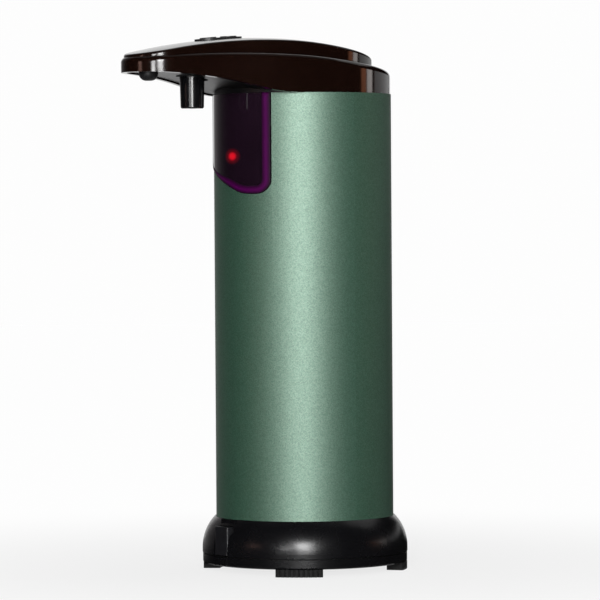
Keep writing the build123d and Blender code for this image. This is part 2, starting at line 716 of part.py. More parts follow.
# Pump rotor, rollers on pins and the race round the hose
rotor = rod_y(rotor_disc_r, rotor_y, rotor_y - rotor_disc, rotor_x, axis_z)
rotor += rod_y(rotor_disc_r, rotor_front, rotor_front + rotor_disc, rotor_x, axis_z)
rotor += rod_y(rotor_hub_r, rotor_y, rotor_front, rotor_x, axis_z)
rotor -= rod_y(axle_r + run, rotor_y + 1, rotor_front - 1, rotor_x, axis_z)
roller_places = []
for k in range(roller_count):
    a = 2 * pi * k / roller_count
    roller_places.append((rotor_x + roller_orbit * cos(a), axis_z + roller_orbit * sin(a)))
pins = []
for k, (x, z) in enumerate(roller_places):
    pins.append(rod_y(roller_pin_r, rotor_y, rotor_front, x, z))
    rotor -= rod_y(roller_pin_r, rotor_y + 1, rotor_front - 1, x, z)
    roller = rod_y(roller_r, rollers_y, rollers_y - roller_width, x, z)
    roller -= rod_y(roller_pin_r + run, rollers_y + 1, rollers_y - roller_width - 1, x, z)
    parts[f"pump_roller_{k + 1}"] = roller
parts["pump_rotor"] = rotor
parts["roller_pins"] = Compound(children=pins)
race_in = hose_orbit + hose_r + race_gap
race_out = race_in + race_wall
race = rod_y(race_out, plate_y, rotor_front, rotor_x, axis_z)
race -= rod_y(race_in, plate_y + 1, rotor_front - 1, rotor_x, axis_z)
race &= block(rotor_x, rotor_x + race_out + 1, rotor_front, plate_y, axis_z - race_out - 1,
              axis_z + race_out + 1)
for x, z in board_points:
    race -= rod_y(post_r + slip, plate_y + 1, rotor_front - 1, x, z)
ear_reach = (race_out + screw_head_r + slip) * cos(pi / 4)
race_screws = []
for side in (-1, 1):
    ear_x = rotor_x + ear_reach
    ear_z = axis_z + side * ear_reach
    ear = rod_y(race_ear_r, plate_y, plate_y - race_ear, ear_x, ear_z)
    race += ear - rod_y(race_in, plate_y + 1, rotor_front, rotor_x, axis_z)
    race -= rod_y(screw_r + run, plate_y + 1, rotor_front - 1, ear_x, ear_z)
    chassis -= rod_y(screw_r, plate_y - 0.5, plate_back + 0.5, ear_x, ear_z)
    place = Plane((ear_x, plate_y - race_ear, ear_z), (1, 0, 0), (0, -1, 0)).location
    race_screws.append(screw(place, short_screw))
parts["pump_race"] = race
parts["race_screws"] = Compound(children=race_screws)

# Sensor board with its eyes and indicator
board = block(-board_half_width, board_half_width, board_front, board_y, axis_z - board_half_height,
              axis_z + board_half_height)
for x, z in board_points:
    board -= rod_y(screw_r + run, board_front - 1, board_y + 1, x, z)
parts["sensor_board"] = board


def lamp(r, x, z):
    """Round lamp with a domed front, standing on the sensor board."""
    body = rod_y(r, board_front, board_front - eye_reach + r, x, z)
    dome = Pos(x, board_front - eye_reach + r, z) * Sphere(r)
    dome &= block(x - r, x + r, board_front - eye_reach - r, board_front - eye_reach + r, z - r, z + r)
    return body + dome


parts["ir_emitter"] = lamp(eye_r, -eye_x, axis_z + eye_z)
parts["ir_receiver"] = lamp(eye_r, eye_x, axis_z + eye_z)
parts["indicator_led"] = lamp(led_r, led_x, axis_z - led_drop)
parts["board_screws"] = Compound(children=[screw(Plane((x, board_front, z), (1, 0, 0), (0, -1, 0)).location)
                                           for x, z in board_points])

# Battery leads, from the end contacts up beside the tank to the sensor board
board_mid = (board_front + board_y) / 2
lead_end = -board_half_width - run
front_z = axis_z - lead_low
rear_z = axis_z - lead_high
contact_x = -wall_x - run
front_lead = [(contact_x, -lead_y, cell_z), (lead_x, -lead_y, cell_z), (lead_x, -lead_y, front_z),
              (lead_end - lead_straight, board_mid, front_z), (lead_end, board_mid, front_z)]
rear_lead = [(contact_x, lead_y, cell_z), (lead_x, lead_y, cell_z), (lead_x, lead_y, rear_z),
             (plate_left - lead_clear, plate_y, rear_z), (lead_end - lead_straight, board_mid, rear_z),
             (lead_end, board_mid, rear_z)]
leads = []
for route in (front_lead, rear_lead):
    path = FilletPolyline(*route, radius=lead_bend)
    start = Plane(route[0], (0, 1, 0), (-1, 0, 0))
    leads.append(sweep(start * Circle(lead_r), path))
parts["battery_leads"] = Compound(children=leads)

# Head shell: crowned shell with a beak, a spigot inside the sleeve and an opening under the top cover
head_body = column(plan(head_r, nose_r), base_z1, cover_top) & above_lip(0) & shell_crown()
rim = []
for edge in head_body.edges():
    middle = edge.position_at(0.5)
    on_ridge = abs(middle.Y + ridge_s) < 0.5 and abs(middle.X) < nose_r
    upright = abs(edge.tangent_at(0.5).Z) > 0.9
    if middle.Z > lip_z(-middle.Y) + 2 and not on_ridge and not upright:
        rim.append(edge)
head_body = fillet(rim, shell_edge)
head_hollow = column(plan(head_r - head_wall, nose_r - head_wall), base_z1, cover_top)
head = head_body - (head_hollow & shell_crown(head_wall))
head -= opening(0)
spigot = ring(sleeve_in - slip, head_r - head_wall, head_z0 - head_spigot, head_z0 + 2)
spigot -= block(-tube_r, tube_r, -tube_r, -ridge_s, base_z1, cover_top)
head += spigot
plug_z = lip_z(plug_s) + liner_recess
boss_z = plug_z + liner_thick + plug_gap
boss = disc(plug_r - boss_inset, boss_z, cover_top, 0, -plug_s) & shell_crown(head_wall / 2)
head += boss
head -= disc(screw_r, boss_z - 1, plug_z + short_screw, 0, -plug_s)
parts["head_shell"] = head

# Underside liner of the beak, with a skirt that stands on the sleeve and the plug that hides its screw
liner_plan = column(plan(head_r - head_wall - slip, nose_r - head_wall - slip), base_z1, cover_top)
skirt_r = tube_r - skirt_inset
skirt_in = skirt_r - skirt_wall
front = liner_plan & block(-tube_r, tube_r, -tip_s, -ridge_s - slip, base_z1, cover_top)
liner = front & above_lip(liner_recess) - above_lip(liner_recess + liner_thick)
liner -= disc(skirt_in, 0, cover_top)
liner += ring(skirt_r, skirt_in, head_z0 + slip, lip_tip) & front - above_lip(liner_recess)
liner -= disc(collar_r + run, 0, cover_top, 0, -nozzle_s)
liner -= disc(screw_r + run, 0, cover_top, 0, -plug_s)
parts["beak_liner"] = liner
plug_top = plug_z - plug_gap
plug = disc(plug_r, plug_top - plug_drop, plug_top, 0, -plug_s)
plug = fillet(plug.edges().group_by(Axis.Z)[0], plug_r * plug_round)
plug -= disc(screw_head_r + run, plug_top - screw_head - run, plug_top + 1, 0, -plug_s)
parts["liner_plug"] = plug
parts["liner_screw"] = screw(Location((0, -plug_s, plug_top), (180, 0, 0)), short_screw)

# Nozzle in its collar
nozzle_tip = head_z0 - nozzle_drop
nozzle_top = nozzle_tip + nozzle_height
nozzle = turned([(0, nozzle_tip), (nozzle_tip_r - tip_chamfer, nozzle_tip),
                 (nozzle_tip_r, nozzle_tip + tip_chamfer),
                 (nozzle_top_r, nozzle_top), (0, nozzle_top)])
nozzle = Pos(0, -nozzle_s, 0) * nozzle
nozzle -= disc(hose_r + run, nozzle_end - slip, nozzle_top + 1, 0, -nozzle_s)
nozzle -= disc(nozzle_outlet_r, nozzle_tip - 1, nozzle_top, 0, -nozzle_s)
parts["nozzle"] = nozzle
collar_z = lip_z(nozzle_s) + liner_recess + collar_sink
collar_top = beak_hose_z - hose_r - slip
parts["nozzle_collar"] = ring(collar_r, nozzle_top_r + run, collar_z, collar_top, 0, -nozzle_s)

# Top cover: crowned lid of the head with a hole for the filler lid, holes for the keys and hinge lugs
top = column(plan(top_back_r, top_nose_r), head_z0, cover_top + 5) & top_crown()
top_rim = []
for edge in top.edges():
    middle = edge.position_at(0.5)
    on_ridge = abs(middle.Y + ridge_s) < 0.5 and abs(middle.X) < top_nose_r
    upright = abs(edge.tangent_at(0.5).Z) > 0.9
    if middle.Z > head_z0 + lip_lift and not on_ridge and not upright:
        top_rim.append(edge)
top = fillet(top_rim, top_edge)
top -= head_body
top -= shell_crown(shell_edge + seat_gap)
top_hollow = column(plan(top_back_r - top_wall, top_nose_r - top_wall), base_z1, cover_top + 5)
top -= top_hollow & top_crown(top_wall)
fence = opening(slip) - opening(slip + fence_wall)
top += fence & top_crown(top_wall / 2) - shell_crown(head_wall + seat_gap)
top -= disc(lid_r + lid_gap, head_z0, cover_top + 1, 0, filler_y)
pin_z = top_z(-pin_y) - knuckle_r
slot_half = knuckle_half + lid_gap
hinge_floor = pin_z - knuckle_r - lid_gap
top -= block(-slot_half, slot_half, filler_y + lid_r / 2, pin_y + knuckle_r + lid_gap, hinge_floor, cover_top)
for side in (-1, 1):
    lug = rod_x(knuckle_r + lug_rim, side * slot_half, side * (slot_half + hinge_lug), pin_y, pin_z)
    lug += block(side * slot_half, side * (slot_half + hinge_lug), pin_y - knuckle_r, pin_y + knuckle_r,
                 pin_z, pin_z + knuckle_r)
    top += lug & top_crown(top_edge / 2)
top -= rod_x(hinge_pin_r, -slot_half - hinge_lug - 1, slot_half + hinge_lug + 1, pin_y, pin_z)
key_places = (pad_s - key_offset, pad_s + key_offset)
for s in key_places:
    top -= disc(key_r + free, head_z0, cover_top + 5, 0, -s)
board_top = top_z(pad_s) - top_wall - post_drop
key_posts = [(-key_board_half + 2, -pad_s), (key_board_half - 2, -pad_s)]
board_z0 = board_top - key_board_thick
for x, y in key_posts:
    top += disc(key_post_r, board_top, cover_top, x, y) & top_crown(top_wall / 2)
    top -= disc(screw_r, board_top - 1, board_z0 + short_screw, x, y)
parts["top_cover"] = top

# Filler lid with its knuckle, pin and stopper
lid = disc(lid_r, head_z0, cover_top + 5, 0, filler_y) & top_crown() - top_crown(lid_thick)
arm = block(-knuckle_half, knuckle_half, pin_y - arm_length, pin_y, pin_z - knuckle_r * arm_drop,
            pin_z + knuckle_r)
lid += arm & top_crown(slip)
lid += rod_x(knuckle_r, -knuckle_half, knuckle_half, pin_y, pin_z)
lid -= rod_x(hinge_pin_r + run, -knuckle_half - 1, knuckle_half + 1, pin_y, pin_z)
parts["filler_lid"] = lid
parts["lid_hinge_pin"] = rod_x(hinge_pin_r, -slot_half - hinge_lug, slot_half + hinge_lug, pin_y, pin_z)
stopper = disc(stopper_r, mouth_z - stopper_depth, cover_top, 0, filler_y) & top_crown(lid_thick)
stopper -= block(-lid_r, lid_r, pin_y - 5.0, pin_y + 5, pin_z - knuckle_r, cover_top)
parts["filler_stopper"] = stopper

# Key pad and keys, with the board and switches under them
pad_plan = Pos(0, -pad_s) * SlotOverall(2 * pad_half_length, 2 * pad_half_width, rotation=90)
pad = column(pad_plan, head_z0, cover_top + 5) & top_crown(-pad_thick) - top_crown()
for s in key_places:
    pad -= disc(key_r + free, head_z0, cover_top + 5, 0, -s)
parts["key_pad"] = pad
key_board_front = -pad_s - key_board_length / 2
key_board_back = -pad_s + key_board_length / 2
key_board = block(-key_board_half, key_board_half, key_board_front, key_board_back, board_z0, board_top)
for x, y in key_posts:
    key_board -= disc(screw_r + run, board_z0 - 1, board_top + 1, x, y)
parts["key_board"] = key_board
key_screws = [screw(Location((x, y, board_z0), (180, 0, 0)), short_screw) for x, y in key_posts]
parts["key_board_screws"] = Compound(children=key_screws)
switches = []
for name, s in zip(("plus_key", "minus_key"), key_places):
    slope = abs(s - ridge_s) / top_front_r
    flange_z = top_z(s) - top_wall - key_flange_r * slope - free
    key = disc(key_r, flange_z - slip, cover_top + 5, 0, -s) & top_crown(-key_proud)
    key += disc(key_flange_r, flange_z - key_flange, flange_z, 0, -s)
    parts[name] = key
    switch = block(-switch_side / 2, switch_side / 2, -s - switch_side / 2, -s + switch_side / 2, board_top,
                   board_top + switch_height)
    switch += disc(switch_tip_r, board_top + switch_height, board_top + switch_height + switch_tip, 0, -s)
    switches.append(switch)
parts["tact_switches"] = Compound(children=switches)

parts["pump_chassis"] = chassis

# Flat ribbon from the sensor board up to the key board
ribbon_x0 = ribbon_x - ribbon_width / 2
ribbon_x1 = ribbon_x + ribbon_width / 2
ribbon_back = board_mid + ribbon_thick / 2
ribbon_top = board_top - key_board_thick / 4
ribbon_front = ribbon_back - ribbon_thick
ribbon = block(ribbon_x0, ribbon_x1, ribbon_front, ribbon_back, axis_z + board_half_height, ribbon_top)
ribbon += block(ribbon_x0, ribbon_x1, key_board_back, ribbon_back, ribbon_top - ribbon_thick, ribbon_top)
parts["key_ribbon"] = ribbon

os.makedirs("parts", exist_ok=True)
for name, shape in parts.items():
    export_step(shape, f"parts/{name}.step")
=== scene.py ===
"""Standing soap dispenser with a painted sleeve: finishes, a window rim and a plain studio stage."""
from math import cos, pi, radians, sin

import bpy
import numpy as np
from mathutils import Matrix, Vector


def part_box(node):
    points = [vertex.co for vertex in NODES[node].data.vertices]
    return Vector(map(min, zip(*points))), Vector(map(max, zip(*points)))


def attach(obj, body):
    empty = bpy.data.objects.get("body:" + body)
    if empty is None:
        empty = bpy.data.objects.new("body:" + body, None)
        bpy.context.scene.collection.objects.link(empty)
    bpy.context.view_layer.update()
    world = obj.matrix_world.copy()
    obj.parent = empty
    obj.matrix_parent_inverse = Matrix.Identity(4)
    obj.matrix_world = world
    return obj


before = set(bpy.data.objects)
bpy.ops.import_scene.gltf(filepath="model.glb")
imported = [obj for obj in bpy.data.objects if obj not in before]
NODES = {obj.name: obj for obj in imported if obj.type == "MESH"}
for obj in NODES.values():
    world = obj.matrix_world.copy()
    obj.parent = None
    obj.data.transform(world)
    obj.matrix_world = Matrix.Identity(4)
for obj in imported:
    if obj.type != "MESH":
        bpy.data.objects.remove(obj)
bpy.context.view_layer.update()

bl_info = {
    "name": "Soap Dispenser Finishes",
    "version": (1, 0, 0),
    "blender": (4, 5, 0),
    "location": "View3D > Sidebar > Dispenser",
    "description": "Finishes and trim of a standing soap dispenser on a studio stage",
    "category": "Object",
}

MM = 0.001
WHITE = (1.0, 1.0, 1.0, 1.0)

# Outline of the window rim, seen from the front, from the pane's middle and its lower edge
RIM_NEAR = 18.1 * MM
RIM_FAR = -19.3 * MM
RIM_LIFT = 1.6 * MM                          # lower edge of the rim over that of the pane
RIM_BEND = 7.0 * MM                          # where the lower edge starts to climb
RIM_CLIMB = 10.5 * MM                        # rise of the far lower corner
RIM_RADII = (5.0 * MM, 18.0 * MM, 6.0 * MM)  # near corner, bend and far corner
RIM_STEP = 0.4 * MM
RIM_SLIM = (0.35, 0.5, 1.0)                  # shares of the width: far edge, half way to it, middle
ARC_POINTS = 25

# Closed profile of the rim: shares of its width from the outline, and of its height over the pane
RIM_ACROSS = np.array([0.0, 0.15, 0.4, 0.8, 1.4, 2.0, 2.6, 3.0, 3.0, 0.0]) / 3.0
RIM_RISE = np.array([-1.0, 0.1, 0.3, 0.6, 0.9, 1.0, 0.8, -0.2, -2.0, -2.0])

# Signs on the keys: half the length and half the width of a bar
SIGN_LONG = 1.3 * MM
SIGN_THIN = 0.28 * MM

# Glow behind the pane: its reach, and the share at which distance along each axis counts
GLOW_REACH = 3.0 * MM
GLOW_STRETCH = (0.66, 0.66, 1.0)

# Stage, in metres, with angles in radians, and the points across each grid
GROUND_POINTS = 9
BACKDROP_POINTS = 25
FLAG_POINTS = 49
FLOOR_HALF = 4.0
SHADOW_REACH = (0.03, 0.3)                   # where the shade on the ground starts to fade and ends
BACKDROP_REACH = 3.2
BACKDROP_TURN = 0.75
BACKDROP_HEIGHTS = (-0.1, 2.2)
FLAG_TURN = 2.75
FLAG_REACH = np.array([0.036, 1.75, 1.75, 0.0])
FLAG_HEIGHT = np.array([0.0006, 0.0006, 1.9, 1.9])
FLAG_GLOW_TURN = 1.75                        # angle from which the left end of the cloth glows, painted light that only gloss shows
FLAG_GLOW = 0.35
WORLD_FILL = 0.08

# Soft lights: degrees from the camera's side, reach, height, height that they face, width and tall
LIGHTS = {
    "key_light": (-2, 1.5, 0.46, 0.1, 0.42, 0.4),
    "top_light": (170, 0.35, 1.3, 0.1, 1.6, 1.4),
    "rim_light": (120, 1.0, 1.25, 0.18, 1.2, 0.7),
}

# Cards that show in the gloss: degrees from the camera's side, height, width, tall, brightness and tint
CARD_REACH = 1.2
CARDS = (
    (0, 0.13, 0.24, 0.13, 30.0, (1, 1, 1)),
    (-21, 0.215, 0.2, 0.09, 24.0, (1, 1, 1)),
    (-60, 0.265, 0.2, 0.085, 4.5, (1, 0.6, 0.5)),
    (87, 0.235, 0.18, 0.085, 1.8, (1, 0.38, 0.2)),
    (98, 0.235, 0.22, 0.085, 3.7, (1, 0.93, 0.9)),
    (131, 0.235, 1.0, 0.085, 0.7, (1, 1, 1)),
)

# Camera's aim: turn past the axis, tilt from straight down, and roll
CAMERA_PAN = radians(0.054)
CAMERA_TILT = radians(88.8)
CAMERA_ROLL = radians(-0.37)


class DispenserColours(bpy.types.PropertyGroup):
    """Colours of the pieces that show."""
    sleeve: bpy.props.FloatVectorProperty(
        name="Sleeve", description="Lacquer of the sleeve between the flakes", subtype="COLOR", size=4,
        default=(0.004, 0.048, 0.025, 1.0), min=0, max=1)
    flake: bpy.props.FloatVectorProperty(
        name="Flake", description="Tint of the light that the flakes throw back", subtype="COLOR", size=4,
        default=(0.71, 1.0, 0.81, 1.0), min=0, max=1)
    head: bpy.props.FloatVectorProperty(
        name="Head", description="Polished plastic of the head", subtype="COLOR", size=4,
        default=(0.0062, 0.0024, 0.0016, 1.0), min=0, max=1)
    base: bpy.props.FloatVectorProperty(
        name="Base", description="Satin plastic of the base", subtype="COLOR", size=4,
        default=(0.0035, 0.0035, 0.0042, 1.0), min=0, max=1)
    window: bpy.props.FloatVectorProperty(
        name="Window", description="Tint of the sensor window", subtype="COLOR", size=4,
        default=(0.008, 0.0035, 0.0075, 1.0), min=0, max=1)
    # Painted light: the purple of the rim stands for light coming through the bevel's thin edge
    rim: bpy.props.FloatVectorProperty(
        name="Window rim", description="Bevel round the sensor window", subtype="COLOR", size=4,
        default=(0.055, 0.0, 0.052, 1.0), min=0, max=1)
    lamp: bpy.props.FloatVectorProperty(
        name="Lamp", description="Glow of the indicator behind the window", subtype="COLOR", size=4,
        default=(0.75, 0.004, 0.012, 1.0), min=0, max=1)


class DispenserRim(bpy.types.PropertyGroup):
    """Sizes of the bevel round the sensor window."""
    width: bpy.props.FloatProperty(
        name="Rim width", description="Width of the bevel on the near side", unit="LENGTH", default=3.0 * MM)
    height: bpy.props.FloatProperty(
        name="Rim height", description="Crown of the bevel over the pane", unit="LENGTH", default=0.1 * MM)


class DispenserStage(bpy.types.PropertyGroup):
    """Camera and lights."""
    azimuth: bpy.props.FloatProperty(
        name="Azimuth", description="Side that the camera stands on", subtype="ANGLE", default=radians(55.0))
    distance: bpy.props.FloatProperty(
        name="Distance", description="Camera to the axis of the sleeve", unit="LENGTH", default=1.326)
    height: bpy.props.FloatProperty(
        name="Height", description="Camera above the floor", unit="LENGTH", default=0.124)
    lens: bpy.props.FloatProperty(
        name="Lens", description="Focal length in millimetres", default=222.0)
    key_power: bpy.props.FloatProperty(
        name="Key light", description="Power of the soft light beside the camera in watts", default=18.0)
    top_power: bpy.props.FloatProperty(
        name="Top light", description="Power of the soft light overhead in watts", default=1.2)
    rim_power: bpy.props.FloatProperty(
        name="Rim light", description="Power of the soft light high behind the head in watts", default=1.8)


def shade(colour, factor):
    """Colour made lighter or darker by a factor."""
    return (colour[0] * factor, colour[1] * factor, colour[2] * factor, 1.0)


def grey(level):
    """Grey of a level."""
    return (level, level, level, 1.0)


def add_node(tree, kind, inputs=(), **settings):
    """Adds a node with its own settings; each input is given a socket to join or a constant."""
    node = tree.nodes.new(kind)
    for key, value in settings.items():
        setattr(node, key, value)
    for key, value in dict(inputs).items():
        if isinstance(value, bpy.types.NodeSocket):
            tree.links.new(value, node.inputs[key])
        else:
            node.inputs[key].default_value = value
    return node


def seen_directly(tree):
    """1 for camera, glossy and transmission rays, 0 for the rays that light other things."""
    path = add_node(tree, "ShaderNodeLightPath")
    rays = {0: path.outputs["Is Camera Ray"], 1: path.outputs["Is Glossy Ray"]}
    seen = add_node(tree, "ShaderNodeMath", rays, operation="MAXIMUM")
    rays = {0: seen.outputs[0], 1: path.outputs["Is Transmission Ray"]}
    return add_node(tree, "ShaderNodeMath", rays, operation="MAXIMUM").outputs[0]


class Finish:
    """Material on Object coordinates: a Principled shader and the nodes that feed it."""

    def __init__(self, name):
        self.mat = bpy.data.materials.new(name)
        self.mat.use_nodes = True
        self.tree = self.mat.node_tree
        self.shader = self.tree.nodes["Principled BSDF"]
        self.place = self.add("ShaderNodeTexCoord").outputs["Object"]

    def add(self, kind, inputs=(), **settings):
        """Adds a node to this material."""
        return add_node(self.tree, kind, inputs, **settings)

    def join(self, name, socket):
        """Joins a socket to a named input of the shader."""
        self.tree.links.new(socket, self.shader.inputs[name])

    def fix(self, name, value):
        """Sets a named input of the shader to a constant."""
        self.shader.inputs[name].default_value = value

    def noise(self, scale, detail=2.0, roughness=0.5):
        """Factor of a noise on the piece."""
        inputs = {"Vector": self.place, "Scale": scale, "Detail": detail, "Roughness": roughness}
        return self.add("ShaderNodeTexNoise", inputs).outputs["Fac"]

    def ramp(self, factor, stops):
        """Colour ramp over a factor; stops are pairs of position and colour."""
        node = self.add("ShaderNodeValToRGB", {"Fac": factor})
        elements = node.color_ramp.elements
        elements[0].position, elements[0].color = stops[0]
        elements[1].position, elements[1].color = stops[-1]
        for position, colour in stops[1:-1]:
            elements.new(position).color = colour
        return node.outputs["Color"]

    def graded(self, name, factor, stops):
        """Joins a colour ramp over a factor to a named input of the shader."""
        self.join(name, self.ramp(factor, stops))

    def bumped(self, height, strength, distance):
        """Bump from a height."""
        bump = self.add("ShaderNodeBump", {"Height": height, "Strength": strength, "Distance": distance})
        self.join("Normal", bump.outputs["Normal"])


def moulded(name, colour, roughness, grain=900.0, depth=0.06, spread=0.12, shine=0.5, wear=0.1):
    """Moulded plastic: fine grain in the surface, faint clouds of tone and of gloss."""
    f = Finish(name)
    cloud = f.noise(scale=55.0, detail=4.0, roughness=0.6)
    f.graded("Base Color", cloud, [(0.3, shade(colour, 1.0 - wear)), (0.7, shade(colour, 1.0 + wear))])
    low = max(roughness - spread / 2, 0.02)
    high = roughness + spread / 2
    f.graded("Roughness", cloud, [(0.25, grey(low)), (0.75, grey(high))])
    fine = f.noise(scale=grain, detail=3.0, roughness=0.55)
    f.bumped(fine, strength=depth, distance=0.4 * MM)
    f.fix("Specular IOR Level", shine)
    return f.mat


def flake_lacquer(name, colour, flake):
    """Flake lacquer: dark pigment, fine cells of random tone and shine, under a soft clear coat."""
    f = Finish(name)
    cells = f.add("ShaderNodeTexVoronoi", {"Vector": f.place, "Scale": 3400.0, "Randomness": 1.0})
    pick = f.add("ShaderNodeSeparateColor", {"Color": cells.outputs["Color"]})
    f.graded("Base Color", pick.outputs["Red"], [(0.0, shade(colour, 0.7)), (1.0, shade(colour, 1.3))])
    mirror = f.add("ShaderNodeMapRange", {"Value": pick.outputs["Green"], "To Min": 0.37, "To Max": 0.63})
    f.join("Specular IOR Level", mirror.outputs["Result"])
    f.graded("Roughness", pick.outputs["Blue"], [(0.0, grey(0.53)), (1.0, grey(0.59))])
    f.bumped(pick.outputs["Blue"], strength=0.04, distance=0.1 * MM)
    f.fix("IOR", 2.75)
    f.fix("Specular Tint", tuple(flake))
    f.fix("Coat Weight", 0.6)
    f.fix("Coat Roughness", 0.54)
    return f.mat


def marked_key(name, colour, centre, upright):
    """Soft key with a printed sign: a bar across, and a second bar along if upright, masked by position."""
    f = Finish(name)
    shift = f.add("ShaderNodeVectorMath", {0: f.place, 1: centre}, operation="SUBTRACT")
    part = f.add("ShaderNodeSeparateXYZ", {"Vector": shift.outputs["Vector"]})

    def within(axis, half):
        """1 where the distance along an axis is under half a length."""
        far = f.add("ShaderNodeMath", {0: part.outputs[axis]}, operation="ABSOLUTE")
        return f.add("ShaderNodeMath", {0: far.outputs[0], 1: half}, operation="LESS_THAN").outputs[0]

    def bar(half_x, half_y):
        """1 inside a bar about the centre."""
        sides = {0: within("X", half_x), 1: within("Y", half_y)}
        return f.add("ShaderNodeMath", sides, operation="MULTIPLY").outputs[0]

    sign = bar(SIGN_LONG, SIGN_THIN)
    if upright:
        both = {0: sign, 1: bar(SIGN_THIN, SIGN_LONG)}
        sign = f.add("ShaderNodeMath", both, operation="MAXIMUM").outputs[0]
    cloud = f.noise(scale=120.0, detail=4.0)
    tone = f.ramp(cloud, [(0.3, shade(colour, 0.85)), (0.7, shade(colour, 1.2))])
    print_colour = (0.45, 0.45, 0.46, 1.0)
    mix = f.add("ShaderNodeMix", {"Factor": sign, "A": tone, "B": print_colour}, data_type="RGBA")
    f.join("Base Color", mix.outputs["Result"])
    f.graded("Roughness", cloud, [(0.3, grey(0.4)), (0.7, grey(0.52))])
    f.bumped(f.noise(scale=1100.0, detail=3.0), strength=0.06, distance=0.4 * MM)
    return f.mat


def polished(name, colour, roughness):
    """Polished dark plastic: clouds of tone and gloss, and a faint orange-peel ripple."""
    f = Finish(name)
    cloud = f.noise(scale=40.0, detail=5.0, roughness=0.65)
    f.graded("Base Color", cloud, [(0.35, shade(colour, 0.85)), (0.65, shade(colour, 1.2))])
    f.graded("Roughness", cloud, [(0.35, grey(roughness * 0.8)), (0.75, grey(roughness * 1.5))])
    f.bumped(f.noise(scale=260.0, detail=1.0), strength=0.02, distance=0.5 * MM)
    f.fix("IOR", 1.5)
    return f.mat


def tinted_acrylic(name, colour, lamp, lamp_at):
    """Dark acrylic pane: the indicator behind it shows as a soft round glow."""
    f = Finish(name)
    cloud = f.noise(scale=30.0, detail=3.0)
    f.graded("Base Color", cloud, [(0.3, shade(colour, 0.8)), (0.7, shade(colour, 1.25))])
    f.graded("Roughness", cloud, [(0.3, grey(0.02)), (0.8, grey(0.035))])
    shift = f.add("ShaderNodeVectorMath", {0: f.place, 1: lamp_at}, operation="SUBTRACT")
    wide = f.add("ShaderNodeVectorMath", {0: shift.outputs["Vector"], 1: GLOW_STRETCH}, operation="MULTIPLY")
    reach = f.add("ShaderNodeVectorMath", {0: wide.outputs["Vector"]}, operation="LENGTH")
    spread = f.add("ShaderNodeMapRange", {"Value": reach.outputs["Value"], "From Max": GLOW_REACH})
    stops = [(0.0, tuple(lamp)), (0.3, shade(lamp, 0.8)), (0.55, shade(lamp, 0.12)), (1.0, grey(0.0))]
    f.graded("Emission Color", spread.outputs["Result"], stops)
    f.fix("Emission Strength", 1.0)
    return f.mat


def lit_bevel(name, colour, edge):
    """Bevel of the tinted pane with painted light: a purple band of light through its thin edge, fading to
    the dark tint at both edges, by the share of the way across it.
    """
    f = Finish(name)
    across = f.add("ShaderNodeAttribute", attribute_name="across")
    stops = [(0.0, tuple(edge)), (0.16, shade(colour, 0.45)), (0.45, tuple(colour)),
             (0.75, shade(colour, 0.5)), (1.0, tuple(edge))]
    f.graded("Base Color", across.outputs["Fac"], stops)
    f.graded("Roughness", f.noise(scale=60.0, detail=3.0), [(0.3, grey(0.42)), (0.7, grey(0.52))])
    f.fix("Specular IOR Level", 0.1)
    return f.mat


def drawn_steel(name, colour, roughness=0.3, along=(1.0, 1.0, 0.06)):
    """Plated or ground steel: fine lines along the piece."""
    f = Finish(name)
    turn = f.add("ShaderNodeMapping", {"Vector": f.place, "Scale": along})
    inputs = {"Vector": turn.outputs["Vector"], "Scale": 1800.0, "Detail": 4.0}
    lines = f.add("ShaderNodeTexNoise", inputs).outputs["Fac"]
    f.graded("Base Color", lines, [(0.3, shade(colour, 0.75)), (0.7, shade(colour, 1.1))])
    f.graded("Roughness", lines, [(0.3, grey(roughness - 0.08)), (0.7, grey(roughness + 0.1))])
    f.bumped(lines, strength=0.08, distance=0.2 * MM)
    f.fix("Metallic", 1.0)
    return f.mat


def clear_resin(name, colour, glow=None):
    """Cast lens resin: small streaks inside, a polished face and an even glow where it is lit."""
    f = Finish(name)
    streak = f.noise(scale=700.0, detail=3.0)
    f.graded("Base Color", streak, [(0.3, shade(colour, 0.8)), (0.7, shade(colour, 1.15))])
    f.fix("Roughness", 0.12)
    if glow:
        f.fix("Emission Color", glow)
        f.fix("Emission Strength", 0.8)
    return f.mat


def circuit_laminate(name, colour):
    """Circuit board: paler copper tracks under a lacquer."""
    f = Finish(name)
    tracks = f.add("ShaderNodeTexBrick", {
        "Vector": f.place, "Scale": 260.0, "Color1": shade(colour, 0.9), "Color2": shade(colour, 1.1),
        "Mortar": shade(colour, 1.9), "Mortar Size": 0.03})
    f.join("Base Color", tracks.outputs["Color"])
    f.graded("Roughness", f.noise(scale=900.0), [(0.3, grey(0.25)), (0.7, grey(0.4))])
    return f.mat


def cell_wrap(name, colour):
    """Printed film round a cell: a plain band and a metal end."""
    f = Finish(name)
    axes = f.add("ShaderNodeSeparateXYZ", {"Vector": f.place})
    metal = (0.5, 0.32, 0.1, 1.0)
    stops = [(0.0, tuple(colour)), (0.008, tuple(colour)), (0.0085, metal), (1.0, metal)]
    f.graded("Base Color", axes.outputs["X"], stops)
    f.graded("Roughness", f.noise(scale=300.0, detail=4.0), [(0.3, grey(0.15)), (0.7, grey(0.32))])
    f.fix("Metallic", 0.3)
    return f.mat


def paint(nodes, mat):
    """Gives CAD nodes a finish."""
    for name in nodes:
        mesh = NODES[name].data
        mesh.materials.clear()
        mesh.materials.append(mat)


